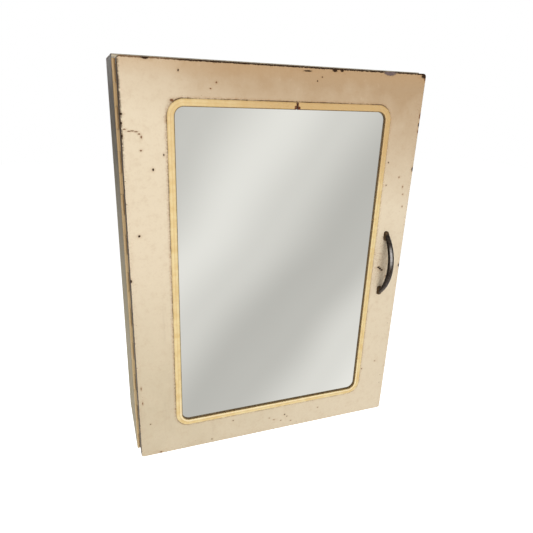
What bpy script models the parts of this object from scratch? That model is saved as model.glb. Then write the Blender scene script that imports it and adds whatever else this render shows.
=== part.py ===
"""A wall-hung sheet-steel medicine cabinet with a mirror let into its one door.

Frame: metres, +Z up, +X to the right of someone facing the cabinet, the door faces -Y.
The origin is the centre of the back face, the face that lies against the wall.
The door hangs on a full-length hinge along its left edge and swings out towards -Y.
"""

import math

import bmesh
import bpy
from mathutils import Matrix, Vector

MM = 0.001

# Sheet metal
SHEET = 1.0 * MM
BEND = 1.5 * MM
FIT = 0.3 * MM

# Body
BODY_WIDTH = 407.2 * MM
BODY_HEIGHT = 537.0 * MM
BODY_DEPTH = 118.4 * MM
FRONT_FLANGE = 14.0 * MM
BACK_FLANGE = 12.0 * MM

# Door
DOOR_WIDTH = 400.0 * MM
DOOR_HEIGHT = 534.6 * MM
DOOR_THICKNESS = 18.0 * MM
DOOR_CORNER = 4.0 * MM
DOOR_LIFT = 0.2 * MM
HEM = 20.0 * MM
HINGE_SPACE = 3.6 * MM

# Mirror and its bead
BEAD_WIDTH = 300.0 * MM
BEAD_HEIGHT = 450.5 * MM
BEAD_SHIFT = (1.6 * MM, 0.5 * MM)
BEAD_CORNER = 20.0 * MM
BEAD_SIZE = 9.0 * MM
BEAD_CROWN = 2.0 * MM
BEAD_LIP = 2.6 * MM
BEAD_EDGE = 0.9 * MM
BEAD_SPLIT_X = 13.0 * MM
BEAD_SPLIT_OUTER = 1.1 * MM
BEAD_SPLIT_INNER = 2.6 * MM
GLASS = 4.0 * MM
GLASS_MARGIN = 5.0 * MM
GLASS_CORNER = 6.0 * MM
BOARD = 2.0 * MM
CLIP_WIDTH = 18.0 * MM
CLIP_FOOT = 11.0 * MM
CLIP_ARM = 12.0 * MM
CLIP_BEND = 1.3 * MM
CLIP_CLEAR = 0.5 * MM
CLIP_Z = 130.0 * MM

# Handle
HANDLE_X = 168.0 * MM
HANDLE_RISE = 24.7 * MM
HANDLE_ARC = 67.0 * MM
HANDLE_WIDTH = 9.6 * MM
HANDLE_DEPTH = 6.0 * MM
HANDLE_TAPER = 0.3
FOOT_LENGTH = 14.0 * MM
FOOT_WIDTH = 7.8 * MM
FOOT_HEIGHT = 4.2 * MM
FOOT_SPACING = 87.0 * MM

# Hinge
KNUCKLES = 21
HINGE_LENGTH = 530.0 * MM
BARREL = 1.65 * MM
PIN = 0.8 * MM
BORE = 1.05 * MM
LEAF_REACH = 12.0 * MM

# Shelves and their ledges
SHELF_LEVELS = {"lower": -88.0 * MM, "upper": 88.0 * MM}
SHELF_WIDTH = 400.0 * MM
SHELF_FRONT = 103.0 * MM
SHELF_BACK = 6.0 * MM
SHELF_LIP = 10.0 * MM
LEDGE = 12.0 * MM
LEDGE_FRONT = 95.0 * MM
LEDGE_BACK = 12.0 * MM

# Panel behind the door
COVER_INSET = 13.0 * MM
COVER_CORNER = 4.0 * MM
COVER_SCREW_INSET = 16.5 * MM

# Magnetic catch, its strike and the door's buffers
CATCH_WIDTH = 14.3 * MM
CATCH_DEPTH = 18.2 * MM
CATCH_HEIGHT = 24.0 * MM
CATCH_WALL = 2.0 * MM
CATCH_EAR = 2.5 * MM
CATCH_EAR_HEIGHT = 40.0 * MM
CATCH_SCREW_Z = 15.5 * MM
POCKET_HEIGHT = 12.0 * MM
POLE = 1.5 * MM
POLE_Z = 4.7 * MM
MAGNET_HEIGHT = 7.2 * MM
STRIKE_WIDTH = 13.0 * MM
STRIKE_HEIGHT = 42.0 * MM
STRIKE_SCREW_Z = 16.5 * MM
BUFFER_Z = 225.0 * MM
BUFFER_INSET = 8.4 * MM
BUFFER_RADIUS = 4.5 * MM

# Screws as (head radius, length below the head), and the holes they pass through
HANDLE_SCREW = (3.2 * MM, 4.6 * MM)
CATCH_SCREW = (2.4 * MM, 6.0 * MM)
COVER_SCREW = (2.4 * MM, 5.0 * MM)
STRIKE_SCREW = (2.0 * MM, 5.0 * MM)
HANDLE_HOLE = 2.0 * MM
SCREW_HOLE = 1.5 * MM
STRIKE_HOLE = 1.3 * MM
BUFFER_HOLE = 2.5 * MM
THROUGH = 14.0 * MM

# Hanging holes
KEYHOLE_X = 150.0 * MM
KEYHOLE_Z = 205.0 * MM
KEYHOLE_HEAD = 6.0 * MM
KEYHOLE_NECK = 3.0 * MM
KEYHOLE_RISE = 13.0 * MM
HANGER_WIDTH = 40.0 * MM
HANGER_BELOW = 22.0 * MM
HANGER_ABOVE = 30.0 * MM

# Planes that several parts share
BACK_PANEL_FRONT = -SHEET
FLANGE_BACK = BACK_PANEL_FRONT - FIT
BODY_FRONT = -BODY_DEPTH
DOOR_BACK = BODY_FRONT - HINGE_SPACE
DOOR_FACE = DOOR_BACK - DOOR_THICKNESS
DOOR_MID_Z = -BODY_HEIGHT / 2 + DOOR_LIFT + DOOR_HEIGHT / 2
GLASS_FRONT = DOOR_FACE + SHEET + FIT
BOARD_FRONT = GLASS_FRONT + GLASS + FIT
COVER_BACK = DOOR_BACK + FIT + SHEET
HINGE_X = -BODY_WIDTH / 2 + BARREL
HINGE_Y = BODY_FRONT - HINGE_SPACE / 2
MIRROR_X, MIRROR_Z = BEAD_SHIFT[0], DOOR_MID_Z + BEAD_SHIFT[1]
HANDLE_Z = DOOR_MID_Z - 0.5 * MM
ARC_STEPS = 6
CROWN_STEPS = 8
HANDLE_STEPS = 16
TURNED_STEPS = 14
HOLE_SIDES = 16
SMALLEST = 0.01 * MM

DOOR_NAMES = (
    "door_skin",
    "door_back_cover",
    "mirror_",
    "handle",
    "cover_",
    "hinge_leaf_door",
    "catch_strike",
    "strike_",
)

AXES = {"X": Vector((1, 0, 0)), "Y": Vector((0, 1, 0)), "Z": Vector((0, 0, 1))}

MATERIALS = {
    "enamel": ((0.80, 0.67, 0.49), 0.35, 0.0),
    "shadow_enamel": ((0.42, 0.37, 0.28), 0.45, 0.0),
    "bead": ((0.79, 0.60, 0.28), 0.4, 0.0),
    "mirror": ((0.86, 0.88, 0.88), 0.03, 1.0),
    "board": ((0.30, 0.19, 0.11), 0.85, 0.0),
    "bronze": ((0.10, 0.08, 0.06), 0.4, 0.9),
    "steel": ((0.45, 0.44, 0.42), 0.4, 1.0),
    "rubber": ((0.05, 0.045, 0.04), 0.8, 0.0),
    "magnet": ((0.07, 0.07, 0.075), 0.6, 0.0),
    "catch": ((0.72, 0.66, 0.52), 0.5, 0.0),
}


# ---------------------------------------------------------------- scene and materials


def clear_scene():
    for obj in list(bpy.data.objects):
        bpy.data.objects.remove(obj, do_unlink=True)


def new_collection(name):
    collection = bpy.data.collections.new(name)
    bpy.context.scene.collection.children.link(collection)
    return collection


def make_materials():
    for name, (colour, roughness, metallic) in MATERIALS.items():
        material = bpy.data.materials.new(name)
        material.use_nodes = True
        shader = material.node_tree.nodes["Principled BSDF"]
        shader.inputs["Base Color"].default_value = (*colour, 1.0)
        shader.inputs["Roughness"].default_value = roughness
        shader.inputs["Metallic"].default_value = metallic


# ---------------------------------------------------------------- making objects


def add_object(name, bm, material):
    """The bmesh as an object among the parts."""
    mesh = bpy.data.meshes.new(name)
    bm.to_mesh(mesh)
    bm.free()
    obj = bpy.data.objects.new(name, mesh)
    parts.objects.link(obj)
    obj.data.materials.append(bpy.data.materials[material])
    return obj


def add_cutter(name, bm):
    """The bmesh as a hidden tool for Boolean modifiers."""
    mesh = bpy.data.meshes.new(name)
    bm.to_mesh(mesh)
    bm.free()
    obj = bpy.data.objects.new(name, mesh)
    cutters.objects.link(obj)
    obj.hide_render = True
    obj.display_type = "WIRE"
    return obj


def box_mesh(low, high):
    low = Vector(low)
    high = Vector(high)
    bm = bmesh.new()
    place = Matrix.Translation((low + high) / 2) @ Matrix.Diagonal((*(high - low), 1.0))
    bmesh.ops.create_cube(bm, size=1.0, matrix=place)
    return bm


def rod_mesh(centre, axis, radius, length, sides):
    turn = AXES["Z"].rotation_difference(AXES[axis]).to_matrix().to_4x4()
    bm = bmesh.new()
    bmesh.ops.create_cone(
        bm,
        cap_ends=True,
        segments=sides,
        radius1=radius,
        radius2=radius,
        depth=length,
        matrix=Matrix.Translation(centre) @ turn,
    )
    return bm


def combine(obj, tool, operation):
    modifier = obj.modifiers.new(operation.title(), "BOOLEAN")
    modifier.operation = operation
    modifier.object = tool
    modifier.solver = "EXACT"


def round_edges(obj, width, segments=2):
    bevel = obj.modifiers.new("Rounded edges", "BEVEL")
    bevel.width = width
    bevel.segments = segments
    bevel.limit_method = "ANGLE"
    bevel.angle_limit = math.radians(40)


def thicken(obj, thickness=SHEET):
    """Gives an open surface its sheet thickness, on the side away from its normals."""
    solidify = obj.modifiers.new("Sheet", "SOLIDIFY")
    solidify.thickness = thickness
    solidify.offset = -1.0
    solidify.use_even_offset = True


def bent_sheet(name, material, axis, corners, start, end):
    """A sheet folded along one axis: corners are its outer line in the other two axes, in XYZ order."""
    others = [key for key in "XYZ" if key != axis]
    bm = bmesh.new()
    rows = []
    for along in (start, end):
        row = []
        for first, second in corners:
            point = AXES[axis] * along + AXES[others[0]] * first + AXES[others[1]] * second
            row.append(bm.verts.new(point))
        rows.append(row)
    for i in range(len(corners) - 1):
        bm.faces.new((rows[0][i], rows[1][i], rows[1][i + 1], rows[0][i + 1]))
    obj = add_object(name, bm, material)
    round_edges(obj, BEND)
    thicken(obj)
    return obj


def turned(name, material, profile, location, facing):
    """A round piece from a profile of (radius, height), top to bottom, whose top faces along a vector."""
    bm = bmesh.new()
    points = [bm.verts.new((radius, 0.0, height)) for radius, height in profile]
    for first, second in zip(points, points[1:]):
        bm.edges.new((first, second))
    obj = add_object(name, bm, material)
    screw = obj.modifiers.new("Turned", "SCREW")
    screw.steps = TURNED_STEPS
    screw.render_steps = TURNED_STEPS
    screw.use_merge_vertices = True
    screw.merge_threshold = SMALLEST
    obj.location = location
    obj.rotation_mode = "QUATERNION"
    obj.rotation_quaternion = AXES["Z"].rotation_difference(Vector(facing))
    return obj


def slotted_screw(name, seat, facing, head, length):
    """A pan-head screw whose head's underside is at seat; head and length drive its other sizes."""
    height = head * 0.5
    shank = head * 0.5
    profile = [
        (0.0, height),
        (head * 0.62, height * 0.92),
        (head * 0.95, height * 0.5),
        (head, 0.0),
        (shank, 0.0),
        (shank, -length + shank * 0.5),
        (shank * 0.5, -length),
        (0.0, -length),
    ]
    obj = turned(name, "steel", profile, seat, facing)
    slot = box_mesh((-head * 1.5, -head * 0.14, height * 0.5), (head * 1.5, head * 0.14, height * 2))
    tool = add_cutter(name + "_slot", slot)
    tool.location = seat
    tool.rotation_mode = "QUATERNION"
    tool.rotation_quaternion = obj.rotation_quaternion
    combine(obj, tool, "DIFFERENCE")
    return obj


def drill(centre, axis, radius, length, targets):
    """One round hole through each of the named parts."""
    name = "hole_{:03d}".format(len(cutters.objects))
    tool = add_cutter(name, rod_mesh(centre, axis, radius, length, HOLE_SIDES))
    for target in targets:
        combine(target, tool, "DIFFERENCE")


# ---------------------------------------------------------------- rounded rectangular loops


def loop_points(width, height, corner, centre_x, centre_z, y):
    """A rounded rectangle in the door's plane, anticlockwise seen from the front."""
    points = []
    signs = ((1, -1), (1, 1), (-1, 1), (-1, -1))
    for quarter, (side, up) in enumerate(signs):
        middle_x = centre_x + side * (width / 2 - corner)
        middle_z = centre_z + up * (height / 2 - corner)
        for step in range(ARC_STEPS + 1):
            angle = math.radians(-90 + 90 * quarter + 90 * step / ARC_STEPS)
            points.append((middle_x + corner * math.cos(angle), y, middle_z + corner * math.sin(angle)))
    return points


def loft(loops, closed):
    """A skin through loops of equal length; closed joins the last loop to the first."""
    bm = bmesh.new()
    rings = [[bm.verts.new(point) for point in points] for points in loops]
    pairs = list(zip(rings, rings[1:]))
    if closed:
        pairs.append((rings[-1], rings[0]))
    for ring, following in pairs:
        count = len(ring)
        for i in range(count):
            j = (i + 1) % count
            bm.faces.new((following[i], following[j], ring[j], ring[i]))
    return bm


def rounded_plate(name, material, size, corner, centre, front, thickness):
    """A flat plate in the door's plane with rounded corners."""
    outline = loop_points(size[0], size[1], corner, centre[0], centre[1], front)
    bm = bmesh.new()
    face = bm.faces.new([bm.verts.new(point) for point in outline])
    grown = bmesh.ops.extrude_face_region(bm, geom=[face])
    moved = [item for item in grown["geom"] if isinstance(item, bmesh.types.BMVert)]
    bmesh.ops.translate(bm, verts=moved, vec=(0.0, thickness, 0.0))
    bmesh.ops.recalc_face_normals(bm, faces=bm.faces)
    return add_object(name, bm, material)


# ---------------------------------------------------------------- body


def make_side_panels():
    half = BODY_WIDTH / 2
    inner = half - FRONT_FLANGE
    tail = half - BACK_FLANGE
    reach = BODY_HEIGHT / 2 - SHEET - FIT
    left = [(-inner, BODY_FRONT), (-half, BODY_FRONT), (-half, FLANGE_BACK), (-tail, FLANGE_BACK)]
    right = [(tail, FLANGE_BACK), (half, FLANGE_BACK), (half, BODY_FRONT), (inner, BODY_FRONT)]
    bent_sheet("side_panel_left", "shadow_enamel", "Z", left, -reach, reach)
    bent_sheet("side_panel_right", "enamel", "Z", right, -reach, reach)


def make_end_panel(name, up):
    """The top (up = 1) or bottom (up = -1) of the body, its flanges cut short between the side panels."""
    outer = up * BODY_HEIGHT / 2
    front_edge = outer - up * FRONT_FLANGE
    back_edge = outer - up * BACK_FLANGE
    corners = [(BODY_FRONT, front_edge), (BODY_FRONT, outer), (FLANGE_BACK, outer), (FLANGE_BACK, back_edge)]
    if up < 0:
        corners.reverse()
    half = BODY_WIDTH / 2
    panel = bent_sheet(name, "enamel", "X", corners, -half, half)
    notch = half - FRONT_FLANGE - FIT
    under = up * (BODY_HEIGHT / 2 - SHEET - FIT / 2)
    below = up * (BODY_HEIGHT / 2 - 2 * FRONT_FLANGE)
    for side in (-1, 1):
        xs = sorted((side * notch, side * BODY_WIDTH))
        zs = sorted((under, below))
        notch_box = box_mesh((xs[0], 2 * BODY_FRONT, zs[0]), (xs[1], BODY_DEPTH, zs[1]))
        combine(panel, add_cutter("{}_notch_{}".format(name, side), notch_box), "DIFFERENCE")


def make_back_panel():
    half = BODY_WIDTH / 2 - BEND
    tall = BODY_HEIGHT / 2 - BEND
    panel = add_object("back_panel", box_mesh((-half, -SHEET, -tall), (half, 0.0, tall)), "enamel")
    plates = {}
    for name, side in (("left", -1), ("right", 1)):
        middle = side * KEYHOLE_X
        low = (middle - HANGER_WIDTH / 2, FLANGE_BACK - SHEET, KEYHOLE_Z - HANGER_BELOW)
        high = (middle + HANGER_WIDTH / 2, FLANGE_BACK, KEYHOLE_Z + HANGER_ABOVE)
        plate = add_object("hanger_plate_" + name, box_mesh(low, high), "steel")
        plates[middle] = plate
    for middle, plate in plates.items():
        for tool in keyhole_cutters(middle):
            combine(panel, tool, "DIFFERENCE")
            combine(plate, tool, "DIFFERENCE")


def keyhole_cutters(x):
    """A round hole for a screw head, and above it a narrower slot that hangs on the screw."""
    top = KEYHOLE_Z + KEYHOLE_RISE
    neck_low = (x - KEYHOLE_NECK, -THROUGH, KEYHOLE_Z)
    neck_high = (x + KEYHOLE_NECK, THROUGH, top)
    shapes = (
        rod_mesh((x, 0.0, KEYHOLE_Z), "Y", KEYHOLE_HEAD, 2 * THROUGH, 24),
        box_mesh(neck_low, neck_high),
        rod_mesh((x, 0.0, top), "Y", KEYHOLE_NECK, 2.2 * THROUGH, 24),
    )
    return [add_cutter("keyhole_{:03d}".format(len(cutters.objects)), shape) for shape in shapes]


def make_shelves():
    half = SHELF_WIDTH / 2
    web = BODY_WIDTH / 2 - SHEET - FIT
    for level, top in SHELF_LEVELS.items():
        low = top - SHELF_LIP
        corners = [(-SHELF_FRONT, low), (-SHELF_FRONT, top), (-SHELF_BACK, top), (-SHELF_BACK, low)]
        bent_sheet("shelf_" + level, "enamel", "X", corners, -half, half)
        seat = top - SHEET - FIT
        left = [(-web + LEDGE, seat), (-web, seat), (-web, seat - LEDGE)]
        right = [(web, seat - LEDGE), (web, seat), (web - LEDGE, seat)]
        for side, ledge in (("left", left), ("right", right)):
            name = "shelf_ledge_{}_{}".format(level, side)
            bent_sheet(name, "enamel", "Y", ledge, -LEDGE_FRONT, -LEDGE_BACK)


# ---------------------------------------------------------------- hinge


def knuckle_span(index):
    pitch = HINGE_LENGTH / KNUCKLES
    low = DOOR_MID_Z - HINGE_LENGTH / 2 + index * pitch
    return low + FIT / 2, low + pitch - FIT / 2


def make_leaf(name, first, leaf_y):
    """A hinge leaf with every second knuckle, from the given one up."""
    clear = HINGE_X + BARREL + FIT
    bottom = knuckle_span(0)[0]
    top = knuckle_span(KNUCKLES - 1)[1]
    low = (clear, leaf_y, bottom)
    high = (clear + LEAF_REACH - FIT, leaf_y + SHEET, top)
    leaf = add_object(name, box_mesh(low, high), "steel")
    for index in range(first, KNUCKLES, 2):
        start, end = knuckle_span(index)
        middle = (HINGE_X, HINGE_Y, (start + end) / 2)
        barrel = add_cutter("{}_barrel_{}".format(name, index), rod_mesh(middle, "Z", BARREL, end - start, 14))
        tab_low = (HINGE_X, leaf_y, start)
        tab_high = (clear + FIT, leaf_y + SHEET, end)
        tab = add_cutter("{}_tab_{}".format(name, index), box_mesh(tab_low, tab_high))
        combine(leaf, tab, "UNION")
        combine(leaf, barrel, "UNION")
    bore = rod_mesh((HINGE_X, HINGE_Y, DOOR_MID_Z), "Z", BORE, HINGE_LENGTH * 1.1, 14)
    combine(leaf, add_cutter(name + "_bore", bore), "DIFFERENCE")


def make_hinge():
    make_leaf("hinge_leaf_body", 0, BODY_FRONT - FIT - SHEET)
    make_leaf("hinge_leaf_door", 1, DOOR_BACK + FIT)
    pin = rod_mesh((HINGE_X, HINGE_Y, DOOR_MID_Z), "Z", PIN, HINGE_LENGTH + 2 * MM, 12)
    add_object("hinge_pin", pin, "steel")


# ---------------------------------------------------------------- door


def make_door_skin():
    """The pressed pan: face with the mirror's opening, four returns, and a hem turned in behind."""
    wide = BEAD_WIDTH - 2 * BEAD_LIP
    tall = BEAD_HEIGHT - 2 * BEAD_LIP
    opening = loop_points(wide, tall, BEAD_CORNER - BEAD_LIP, MIRROR_X, MIRROR_Z, DOOR_FACE)
    front = loop_points(DOOR_WIDTH, DOOR_HEIGHT, DOOR_CORNER, 0.0, DOOR_MID_Z, DOOR_FACE)
    back = loop_points(DOOR_WIDTH, DOOR_HEIGHT, DOOR_CORNER, 0.0, DOOR_MID_Z, DOOR_BACK)
    hem = loop_points(DOOR_WIDTH - 2 * HEM, DOOR_HEIGHT - 2 * HEM, 3 * MM, 0.0, DOOR_MID_Z, DOOR_BACK)
    skin = add_object("door_skin", loft([opening, front, back, hem], False), "enamel")
    round_edges(skin, BEND)
    thicken(skin)
    return skin


def make_door_cover():
    size = (DOOR_WIDTH - 2 * COVER_INSET, DOOR_HEIGHT - 2 * COVER_INSET)
    centre = (0.0, DOOR_MID_Z)
    return rounded_plate("door_back_cover", "enamel", size, COVER_CORNER, centre, DOOR_BACK + FIT, SHEET)


def make_mirror():
    centre = (MIRROR_X, MIRROR_Z)
    size = (BEAD_WIDTH + 2 * GLASS_MARGIN, BEAD_HEIGHT + 2 * GLASS_MARGIN)
    rounded_plate("mirror_glass", "mirror", size, GLASS_CORNER, centre, GLASS_FRONT, GLASS)
    rounded_plate("mirror_backing_board", "board", size, GLASS_CORNER, centre, BOARD_FRONT, BOARD)


def bead_section():
    """The bead's outline as (distance in from its outer edge, height above the door's face)."""
    crown = []
    for step in range(CROWN_STEPS + 1):
        angle = math.pi * (1 - step / CROWN_STEPS)
        inward = BEAD_SIZE / 2 * (1 + math.cos(angle))
        crown.append((inward, BEAD_EDGE + (BEAD_CROWN - BEAD_EDGE) * math.sin(angle)))
    floor = FIT - (GLASS_FRONT - DOOR_FACE)
    step_in = BEAD_LIP + FIT
    return [(0.0, FIT), *crown, (BEAD_SIZE, floor), (step_in, floor), (step_in, FIT)]


def make_bead():
    """The rounded bead that covers the opening's edge and holds the glass, split at the top."""
    loops = []
    for inward, height in bead_section():
        wide = BEAD_WIDTH - 2 * inward
        tall = BEAD_HEIGHT - 2 * inward
        corner = BEAD_CORNER - inward
        loops.append(loop_points(wide, tall, corner, MIRROR_X, MIRROR_Z, DOOR_FACE - height))
    bm = loft(loops, True)
    bmesh.ops.recalc_face_normals(bm, faces=bm.faces)
    bead = add_object("mirror_bead", bm, "bead")
    split = bmesh.new()
    top = MIRROR_Z + BEAD_HEIGHT / 2
    place = Matrix.Translation((BEAD_SPLIT_X, DOOR_FACE, top - BEAD_SIZE / 2))
    bmesh.ops.create_cone(
        split,
        cap_ends=True,
        segments=4,
        radius1=BEAD_SPLIT_INNER,
        radius2=BEAD_SPLIT_OUTER,
        depth=2 * BEAD_SIZE,
        matrix=place @ Matrix.Diagonal((1.0, 6.0, 1.0, 1.0)),
    )
    combine(bead, add_cutter("bead_split", split), "DIFFERENCE")


def make_mirror_clips():
    """Bent clips welded inside the face, folded over the backing board."""
    half_width = BEAD_WIDTH / 2 + GLASS_MARGIN
    half_height = BEAD_HEIGHT / 2 + GLASS_MARGIN
    for side, sign in (("left", -1), ("right", 1)):
        for row, z in (("upper", CLIP_Z), ("lower", -CLIP_Z)):
            make_clip("mirror_clip_{}_{}".format(side, row), "Z", MIRROR_X + sign * half_width, sign, z)
    for side, sign in (("top", 1), ("bottom", -1)):
        make_clip("mirror_clip_" + side, "X", MIRROR_Z + sign * half_height, sign, MIRROR_X)


def make_clip(name, axis, glass_edge, sign, middle):
    """A foot on the skin, a leg past the glass's edge, and an arm over the board; the clip runs along axis."""
    leg = glass_edge + sign * (CLIP_CLEAR + SHEET)
    foot = GLASS_FRONT + SHEET
    arm = BOARD_FRONT + BOARD + FIT + SHEET
    line = [(leg + sign * CLIP_FOOT, foot), (leg, foot), (leg, arm), (leg - sign * CLIP_ARM, arm)]
    if axis == "X":
        line = [(y, across) for across, y in line]
    if (sign > 0) == (axis == "Z"):
        line.reverse()
    clip = bent_sheet(name, "steel", axis, line, middle - CLIP_WIDTH / 2, middle + CLIP_WIDTH / 2)
    clip.modifiers["Rounded edges"].width = CLIP_BEND


def make_handle(skin):
    """A bow on a circular arc, thinner towards its ends, joined to two oval feet."""
    inner_arc = HANDLE_ARC - HANDLE_DEPTH / 2
    middle_y = DOOR_FACE - FIT - HANDLE_RISE + HANDLE_ARC
    sweep = math.acos((HANDLE_ARC - HANDLE_RISE) / HANDLE_ARC)
    data = bpy.data.curves.new("handle_path", "CURVE")
    data.dimensions = "3D"
    data.bevel_depth = HANDLE_DEPTH / 2
    data.bevel_resolution = 2
    data.use_fill_caps = True
    spline = data.splines.new("POLY")
    spline.points.add(HANDLE_STEPS)
    for i, point in enumerate(spline.points):
        share = 2 * i / HANDLE_STEPS - 1
        angle = share * sweep
        y = middle_y - inner_arc * math.cos(angle)
        point.co = (0.0, y, HANDLE_Z + inner_arc * math.sin(angle), 1.0)
        point.radius = 1.0 - HANDLE_TAPER * share**2
    curve = bpy.data.objects.new("handle_path", data)
    parts.objects.link(curve)
    bpy.context.view_layer.update()
    mesh = bpy.data.meshes.new_from_object(curve.evaluated_get(bpy.context.evaluated_depsgraph_get()))
    bpy.data.objects.remove(curve, do_unlink=True)
    bm = bmesh.new()
    bm.from_mesh(mesh)
    bpy.data.meshes.remove(mesh)
    bmesh.ops.remove_doubles(bm, verts=bm.verts, dist=SMALLEST)
    bmesh.ops.scale(bm, vec=(HANDLE_WIDTH / HANDLE_DEPTH, 1.0, 1.0), verts=bm.verts)
    bmesh.ops.translate(bm, vec=(HANDLE_X, 0.0, 0.0), verts=bm.verts)
    bmesh.ops.recalc_face_normals(bm, faces=bm.faces)
    handle = add_object("handle", bm, "bronze")
    seat = DOOR_FACE - FIT
    for name, sign in (("upper", 1), ("lower", -1)):
        z = HANDLE_Z + sign * FOOT_SPACING / 2
        foot = rod_mesh((0.0, 0.0, 0.0), "Y", 1.0, 1.0, 16)
        stretch = Matrix.Diagonal((FOOT_WIDTH / 2, FOOT_HEIGHT, FOOT_LENGTH / 2, 1.0))
        place = Matrix.Translation((HANDLE_X, seat - FOOT_HEIGHT / 2, z)) @ stretch
        bmesh.ops.transform(foot, matrix=place, verts=foot.verts)
        combine(handle, add_cutter("handle_foot_" + name, foot), "UNION")
    behind = box_mesh((0.0, seat, -BODY_HEIGHT), (BODY_WIDTH, BODY_DEPTH, BODY_HEIGHT))
    combine(handle, add_cutter("handle_seat", behind), "DIFFERENCE")
    for name, sign in (("upper", 1), ("lower", -1)):
        z = HANDLE_Z + sign * FOOT_SPACING / 2
        head_seat = (HANDLE_X, DOOR_FACE + SHEET + FIT, z)
        slotted_screw("handle_screw_" + name, head_seat, (0, 1, 0), *HANDLE_SCREW)
        blind = 2 * (FOOT_HEIGHT - 2 * FIT)
        drill((HANDLE_X, seat, z), "Y", HANDLE_HOLE, blind, (skin, handle))


def make_cover_screws(skin, cover):
    x = DOOR_WIDTH / 2 - COVER_SCREW_INSET
    z = DOOR_HEIGHT / 2 - COVER_SCREW_INSET
    for up, sign_z in (("top", 1), ("bottom", -1)):
        for side, sign_x in (("left", -1), ("right", 1)):
            point = (sign_x * x, COVER_BACK + FIT, DOOR_MID_Z + sign_z * z)
            slotted_screw("cover_screw_{}_{}".format(up, side), point, (0, 1, 0), *COVER_SCREW)
            drill(point, "Y", SCREW_HOLE, THROUGH, (skin, cover))


# ---------------------------------------------------------------- catch and buffers


def make_catch(side, skin, cover):
    """A magnet between two pole plates, in a housing screwed behind the body's right flange."""
    edge = BODY_WIDTH / 2 - FRONT_FLANGE - FIT
    face = BODY_FRONT + FIT
    low = (edge - CATCH_WIDTH, face, -CATCH_HEIGHT / 2)
    high = (edge, face + CATCH_DEPTH, CATCH_HEIGHT / 2)
    housing = add_object("catch_housing", box_mesh(low, high), "catch")
    ear_front = BODY_FRONT + SHEET + FIT
    ear_low = (edge - CATCH_WALL, ear_front, -CATCH_EAR_HEIGHT / 2)
    ear_high = (BODY_WIDTH / 2 - 3 * SHEET, ear_front + CATCH_EAR, CATCH_EAR_HEIGHT / 2)
    combine(housing, add_cutter("catch_ear", box_mesh(ear_low, ear_high)), "UNION")
    pocket_low = (low[0] + CATCH_WALL, face - CATCH_DEPTH, -POCKET_HEIGHT / 2)
    pocket_high = (high[0] - CATCH_WALL, high[1] - CATCH_WALL, POCKET_HEIGHT / 2)
    combine(housing, add_cutter("catch_pocket", box_mesh(pocket_low, pocket_high)), "DIFFERENCE")
    xs = (pocket_low[0] + FIT, pocket_high[0] - FIT)
    back = pocket_high[1] - FIT
    for name, z in (("upper", POLE_Z), ("lower", -POLE_Z)):
        plate_low = (xs[0], BODY_FRONT - 2 * FIT, z - POLE / 2)
        plate_high = (xs[1], back, z + POLE / 2)
        add_object("catch_pole_" + name, box_mesh(plate_low, plate_high), "steel")
    magnet_low = (xs[0], BODY_FRONT + 2 * FIT, -MAGNET_HEIGHT / 2)
    add_object("catch_magnet", box_mesh(magnet_low, (xs[1], back, MAGNET_HEIGHT / 2)), "magnet")
    for name, z in (("upper", CATCH_SCREW_Z), ("lower", -CATCH_SCREW_Z)):
        point = (BODY_WIDTH / 2 - FRONT_FLANGE / 2, BODY_FRONT - FIT, z)
        slotted_screw("catch_screw_" + name, point, (0, -1, 0), *CATCH_SCREW)
        drill(point, "Y", SCREW_HOLE, THROUGH, (side, housing))
    make_strike(skin, cover, (xs[0] + xs[1]) / 2)


def make_strike(skin, cover, x):
    """The steel plate behind the door that the magnet holds."""
    front = COVER_BACK + FIT
    low = (x - STRIKE_WIDTH / 2, front, -STRIKE_HEIGHT / 2)
    high = (x + STRIKE_WIDTH / 2, front + SHEET, STRIKE_HEIGHT / 2)
    strike = add_object("catch_strike", box_mesh(low, high), "steel")
    for name, z in (("upper", STRIKE_SCREW_Z), ("lower", -STRIKE_SCREW_Z)):
        point = (x, high[1] + FIT, z)
        slotted_screw("strike_screw_" + name, point, (0, 1, 0), *STRIKE_SCREW)
        drill(point, "Y", STRIKE_HOLE, THROUGH, (strike, cover, skin))


def make_buffers(side):
    """Push-in rubber buffers that the closed door rests against; their sizes follow the head's radius."""
    tall = HINGE_SPACE - 2 * FIT
    head = BUFFER_RADIUS
    neck = 0.36 * head
    profile = [
        (0.0, tall),
        (0.67 * head, tall),
        (0.93 * head, 0.65 * tall),
        (head, 0.0),
        (neck, 0.0),
        (neck, -0.44 * head),
        (0.44 * head, -0.58 * head),
        (0.27 * head, -1.1 * head),
        (0.0, -1.1 * head),
    ]
    x = BODY_WIDTH / 2 - BUFFER_INSET
    for name, z in (("upper", BUFFER_Z), ("lower", -BUFFER_Z)):
        seat = (x, BODY_FRONT - FIT, z)
        turned("door_buffer_" + name, "rubber", profile, seat, (0, -1, 0))
        drill(seat, "Y", BUFFER_HOLE, THROUGH, (side,))


# ---------------------------------------------------------------- assembly


def hang_door():
    """Parents every piece of the door to an empty on the hinge's axis."""
    pivot = bpy.data.objects.new("door_pivot", None)
    pivot.location = (HINGE_X, HINGE_Y, DOOR_MID_Z)
    parts.objects.link(pivot)
    bpy.context.view_layer.update()
    for obj in parts.objects:
        if obj.name.startswith(DOOR_NAMES):
            obj.parent = pivot
            obj.matrix_parent_inverse = pivot.matrix_world.inverted()


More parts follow.
